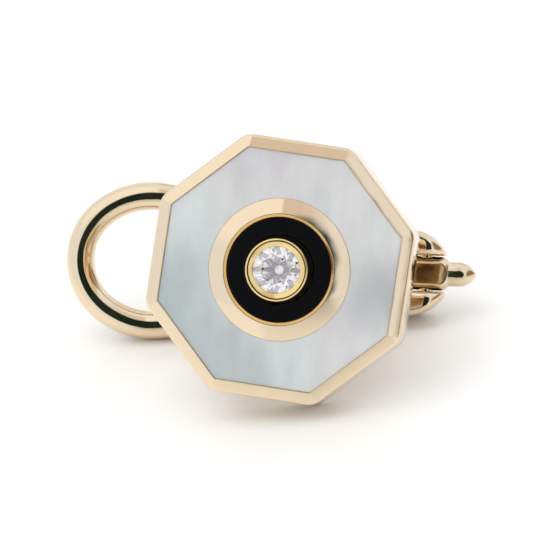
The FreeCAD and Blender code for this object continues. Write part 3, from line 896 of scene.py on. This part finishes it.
shell_material, tree, surface = new_material("mother_of_pearl")
place = stud_coordinates(tree)
drift = add(tree, "ShaderNodeVectorMath", {"operation": "DOT_PRODUCT"})
tree.links.new(place, drift.inputs[0])
drift.inputs[1].default_value = DRIFT
cloud = noise(tree, place, 0.30, 2.5, stretch=(1.0, 1.0, 0.55), turn=(0, 0.25, 0), offset=(3.1, 0, 1.7))
value = add(tree, "ShaderNodeMath", {"operation": "MULTIPLY_ADD"})
tree.links.new(cloud, value.inputs[0])
value.inputs[1].default_value = CLOUD_CONTRAST
tree.links.new(drift.outputs["Value"], value.inputs[2])
tints = tree.nodes.new("ShaderNodeValToRGB")
tints.color_ramp.interpolation = "EASE"
stops = tints.color_ramp.elements
stops[0].position, stops[0].color = 0.22, BLUE_GREY
stops[1].position, stops[1].color = 0.92, SILVER
for position, colour in ((0.46, GREENISH_WHITE), (0.66, SILVER), (0.80, LILAC)):
    stops.new(position).color = colour
tree.links.new(value.outputs[0], tints.inputs["Fac"])
print("shell tints:", len(stops))

# %% [markdown]
# Where the layers run deeper the plate looks greyer. Here that is at the left and at the right, as two
# soft clouds, and a helper makes the mask of one. A trace of sea green and rose lies over everything: that
# is the play of colour.

# %% The shell's deeper clouds and its play of colour


def cloud_near(tree, place, right, up, size, strength):
    """Mask of a soft cloud: strength near its middle, 0 at the distance size, its outline bent by noise."""
    away = add(tree, "ShaderNodeVectorMath", {"operation": "DISTANCE"})
    tree.links.new(place, away.inputs[0])
    away.inputs[1].default_value = (right, 0, up)
    bent = add(tree, "ShaderNodeMath", {"operation": "ADD"})
    tree.links.new(away.outputs["Value"], bent.inputs[0])
    tree.links.new(noise(tree, place, 0.8, 3.0), bent.inputs[1])
    mask = add(
        tree, "ShaderNodeMapRange", step_smoothly,
        Value=bent.outputs[0], From_Min=size, From_Max=0.6, To_Max=strength,
    )
    return mask.outputs["Result"]


ROSE = (0.680, 0.600, 0.620, 1)
SEA_GREEN = (0.530, 0.655, 0.620, 1)
DEEP_GREY = (0.420, 0.440, 0.452, 1)
DEEP_BLUE_GREY = (0.395, 0.455, 0.470, 1)
PLAY_SHARE = 0.14

play = add(
    tree, "ShaderNodeMapRange",
    Value=noise(tree, place, 0.55, 3.0, stretch=(1.3, 1.0, 0.5), turn=(0, 0.35, 0), offset=(8.0, 0, 2.0)),
    From_Min=0.38, From_Max=0.62,
)
lustre = blend(tree, play.outputs["Result"], SEA_GREEN, ROSE)
coloured = blend(tree, PLAY_SHARE, tints.outputs["Color"], lustre)
for right, up, size, strength, colour in (
    (4.2, -0.9, 2.7, 0.85, DEEP_GREY),
    (-4.2, -0.4, 3.0, 0.70, DEEP_BLUE_GREY),
):
    coloured = blend(tree, cloud_near(tree, place, right, up, size, strength), coloured, colour)
print("shell nodes with the clouds:", len(tree.nodes))

# %% [markdown]
# Last, the silky lines and a faint veil lighten and darken the colour by a few parts in a hundred. The
# polish is a smooth surface under a thin clear coat, and its roughness follows the clouds, because the
# softer layers polish less well.

# %% The shell's silk and polish
silk = noise(tree, place, 1.1, 5.0, stretch=(1.6, 1.0, 0.34), turn=(0, 0.30, 0))
veil = noise(tree, place, 0.62, 3.0, stretch=(1.0, 1.0, 0.8), turn=(0, 0.6, 0), offset=(1.0, 0, 4.0))
silk_depth = add(
    tree, "ShaderNodeMapRange", Value=silk, From_Min=0.30, From_Max=0.70, To_Min=0.965, To_Max=1.03
)
veil_depth = add(
    tree, "ShaderNodeMapRange", Value=veil, From_Min=0.36, From_Max=0.62, To_Min=0.95, To_Max=1.02
)
depth = add(tree, "ShaderNodeMath", {"operation": "MULTIPLY"})
tree.links.new(silk_depth.outputs["Result"], depth.inputs[0])
tree.links.new(veil_depth.outputs["Result"], depth.inputs[1])
silky = add(tree, "ShaderNodeVectorMath", {"operation": "SCALE"}, Scale=depth.outputs[0])
tree.links.new(coloured, silky.inputs[0])
tree.links.new(silky.outputs["Vector"], surface.inputs["Base Color"])
gloss = add(tree, "ShaderNodeMapRange", Value=cloud, To_Min=0.16, To_Max=0.30)
tree.links.new(gloss.outputs["Result"], surface.inputs["Roughness"])
surface.inputs["IOR"].default_value = 1.55
surface.inputs["Coat Weight"].default_value = 0.35
surface.inputs["Coat Roughness"].default_value = 0.06
shell.data.materials.append(shell_material)
print("shell nodes:", len(tree.nodes))

# %% [markdown]
# The black ring is onyx, a dense stone that takes a high polish. Nearly all that is seen of it is
# reflection, so it needs a very dark colour and a low roughness. Wiping leaves it a little uneven, and a
# soft noise in the roughness gives that.

# %% The onyx
black_material, tree, surface = new_material("black_onyx")
wiped = add(
    tree, "ShaderNodeMapRange", Value=noise(tree, stud_coordinates(tree), 1.3, 3.0), To_Min=0.06, To_Max=0.14
)
surface.inputs["Base Color"].default_value = (0.006, 0.006, 0.008, 1)
tree.links.new(wiped.outputs["Result"], surface.inputs["Roughness"])
black_ring.data.materials.append(black_material)
print("onyx nodes:", len(tree.nodes))

# %% [markdown]
# The brilliant keeps the CAD facets: they are flat and sharp on the real stone too. Diamond is a clear
# glass with a very high index of refraction, and that alone throws the light about inside it.

# %% The stone
DIAMOND_INDEX = 2.42
diamond, tree, surface = new_material("diamond")
surface.inputs["Base Color"].default_value = (1, 1, 1, 1)
surface.inputs["Roughness"].default_value = 0.0
surface.inputs["IOR"].default_value = DIAMOND_INDEX
surface.inputs["Transmission Weight"].default_value = 1.0
stone.data.materials[0] = diamond
print("stone triangles:", len(stone.data.polygons))

# %% [markdown]
# The stud lies on a plain pale floor. The floor is one large square, told to the frame as part of the
# studio, so it is never taken for a piece of the object.

# %% The floor
FLOOR_HALF = 2.0

floor_corners = [
    (-FLOOR_HALF, -FLOOR_HALF, 0),
    (FLOOR_HALF, -FLOOR_HALF, 0),
    (FLOOR_HALF, FLOOR_HALF, 0),
    (-FLOOR_HALF, FLOOR_HALF, 0),
]
floor_mesh = bpy.data.meshes.new("floor")
floor_mesh.from_pydata(floor_corners, [], [(0, 1, 2, 3)])
floor = bpy.data.objects.new("floor", floor_mesh)
bpy.context.scene.collection.objects.link(floor)
floor_material, tree, surface = new_material("pale_floor")
surface.inputs["Base Color"].default_value = (0.87, 0.87, 0.87, 1)
surface.inputs["Roughness"].default_value = 0.25
floor_mesh.materials.append(floor_material)
floor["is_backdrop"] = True
print("floor side, m:", 2 * FLOOR_HALF)

# %% [markdown]
# The camera looks almost straight at the face, a little from its right and from just above, so the nose
# and the round end of the loop show behind the octagon. A jewel is photographed with a long lens from far
# away, and then near and far parts have the same scale. The picture is rolled a little, because the loop
# isn't level in it.

# %% The camera
VIEW_FROM_RIGHT = math.radians(7.5)
VIEW_FROM_ABOVE = math.radians(1.0)
LOOP_SLOPE = math.radians(2.6)
LENS = 900.0    # millimetres, as Blender counts it, on a sensor of the same unit
SENSOR = 36.0
FRAME_WIDTH = 21.0 * MM
FRAME_CENTRE = np.array([-0.9, 3.0, 0.05]) * MM

to_camera = math.cos(VIEW_FROM_RIGHT) * out_of_face + math.sin(VIEW_FROM_RIGHT) * rightwards
to_camera = math.cos(VIEW_FROM_ABOVE) * to_camera + math.sin(VIEW_FROM_ABOVE) * upwards
image_x = rightwards * math.cos(LOOP_SLOPE) + upwards * math.sin(LOOP_SLOPE)
image_x -= to_camera * (image_x @ to_camera)
image_x /= np.linalg.norm(image_x)
image_y = np.cross(to_camera, image_x)

camera_data = bpy.data.cameras.new("camera")
camera_data.lens = LENS
camera_data.sensor_width = SENSOR
camera_data.clip_start = 0.01
camera_data.clip_end = 10.0
camera = bpy.data.objects.new("camera", camera_data)
bpy.context.scene.collection.objects.link(camera)
turn = Matrix([image_x, image_y, to_camera]).transposed().to_4x4()
camera_place = in_place(FRAME_CENTRE) + to_camera * FRAME_WIDTH * LENS / SENSOR
camera.matrix_world = Matrix.Translation(camera_place) @ turn
bpy.context.scene.camera = camera
print("camera height above the floor, mm:", round(camera.location.z / MM, 1))

# %% [markdown]
# Polished gold shows mostly what stands round it, so the light here is a photographer's white tent, and
# it is painted on the world instead of built. The helpers turn the direction of a ray into masks: how far
# it points along some direction, a smooth step on that, products of masks, and paint laid over a colour.

# %% The tent's helpers
world = bpy.data.worlds.new("studio")
bpy.context.scene.world = world
world.use_nodes = True
tree = world.node_tree


def along(direction):
    """How far a ray points along a direction: 1 straight along it, -1 straight against it."""
    look = tree.nodes.new("ShaderNodeTexCoord").outputs["Generated"]
    dot = add(tree, "ShaderNodeVectorMath", {"operation": "DOT_PRODUCT"})
    tree.links.new(look, dot.inputs[0])
    dot.inputs[1].default_value = tuple(direction)
    return dot.outputs["Value"]


def rising(value, low, high):
    """Mask that goes smoothly from 0 at low to 1 at high, and the other way where low is the larger."""
    made = add(tree, "ShaderNodeMapRange", step_smoothly, Value=value, From_Min=low, From_Max=high)
    return made.outputs["Result"]


def both(first, *others):
    """Product of masks."""
    for other in others:
        product = add(tree, "ShaderNodeMath", {"operation": "MULTIPLY"})
        tree.links.new(first, product.inputs[0])
        tree.links.new(other, product.inputs[1])
        first = product.outputs[0]
    return first


def beyond(angle):
    """Cosine of an angle in degrees, the value of along() at that angle from its direction."""
    return math.cos(math.radians(angle))


print("a ray 30 degrees off a direction points along it by", round(beyond(30), 3))

# %% [markdown]
# The tent has a brighter window high on the left, which gives the soft shadow. Polished metal also needs
# something dark to show its shape: the opening for the lens makes the dark green line along the wire, and
# two brown cards, one above and one far to the right, make the warm bands on the collar and the rim. The
# opening is taller than wide, as a photographer is: the square of a ray's height is added to its nearness
# to the lens, so a ray may point farther up or down than sideways before it leaves the dark.

# %% The tent's parts
WINDOW = -0.50 * rightwards + 0.72 * upwards + 0.48 * out_of_face
TALLNESS = 0.20
camera_side = along(to_camera)
right_side = along(rightwards)
upper_side = along(upwards)
window = rising(along(WINDOW), beyond(34), beyond(24))
height_squared = both(upper_side, upper_side)
tall = add(tree, "ShaderNodeMath", {"operation": "MULTIPLY_ADD"})
tree.links.new(height_squared, tall.inputs[0])
tall.inputs[1].default_value = TALLNESS
tree.links.new(camera_side, tall.inputs[2])
lens_opening = rising(tall.outputs[0], beyond(31), beyond(25))
brown_side = rising(right_side, 0.66, 0.84)
brown_above = both(
    rising(right_side, -0.13, -0.10),
    rising(right_side, 0.50, 0.10),
    rising(upper_side, 0.50, 0.62),
    rising(upper_side, 0.95, 0.85),
)
stone_shade = rising(camera_side, beyond(32), beyond(12))
print("parts of the tent: 5, nodes:", len(tree.nodes))

# %% [markdown]
# The parts are laid over white one after another. The window lights the matt surfaces more than it shows
# in the gold. The cards and the opening are there for reflections alone, so they don't darken the shell
# or the floor. A ray that leaves the stone counts as reflected too, so it is taken out of that mask, and
# the stone sees its own softer shade. The camera sees plain near-white.

# %% The tent's colours
NEAR_WHITE = (0.97, 0.97, 0.97, 1)
rays = tree.nodes.new("ShaderNodeLightPath").outputs
through_stone = rays["Is Transmission Ray"]
not_through = add(tree, "ShaderNodeMath", {"operation": "SUBTRACT"})
not_through.inputs[0].default_value = 1.0
tree.links.new(through_stone, not_through.inputs[1])
reflected = both(rays["Is Glossy Ray"], not_through.outputs[0])
tent = blend(tree, reflected, (1.0, 1.0, 1.0, 1), (0.84, 0.87, 0.93, 1))
tent = blend(tree, both(window, reflected), tent, (0.98, 0.98, 0.98, 1))
tent = blend(tree, both(window, rays["Is Diffuse Ray"]), tent, (1.9, 1.88, 1.82, 1))
tent = blend(tree, both(brown_side, reflected), tent, (0.28, 0.21, 0.14, 1))
tent = blend(tree, both(brown_above, reflected), tent, (0.72, 0.655, 0.61, 1))
tent = blend(tree, both(lens_opening, reflected), tent, (0.012, 0.020, 0.015, 1))
tent = blend(tree, both(stone_shade, through_stone), tent, (0.42, 0.39, 0.43, 1))
sky = blend(tree, rays["Is Camera Ray"], tent, NEAR_WHITE)
background = tree.nodes["Background"]
tree.links.new(sky, background.inputs["Color"])
background.inputs["Strength"].default_value = 1.12
print("tent nodes:", len(tree.nodes))

# %% [markdown]
# The standard view keeps white as white, which a jewel on a white ground needs. The last cell measures
# the box round everything again and prints how far the finished pieces reach outside the imported model's box.

# %% The view, the sizes and the end of the frame
bpy.context.scene.view_settings.view_transform = "Standard"
seen_low, seen_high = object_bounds()
outside = max(max(np.array(cad_low) - seen_low), max(np.array(seen_high) - cad_high))
print("farthest outside the packed box, mm:", round(outside / MM, 4))
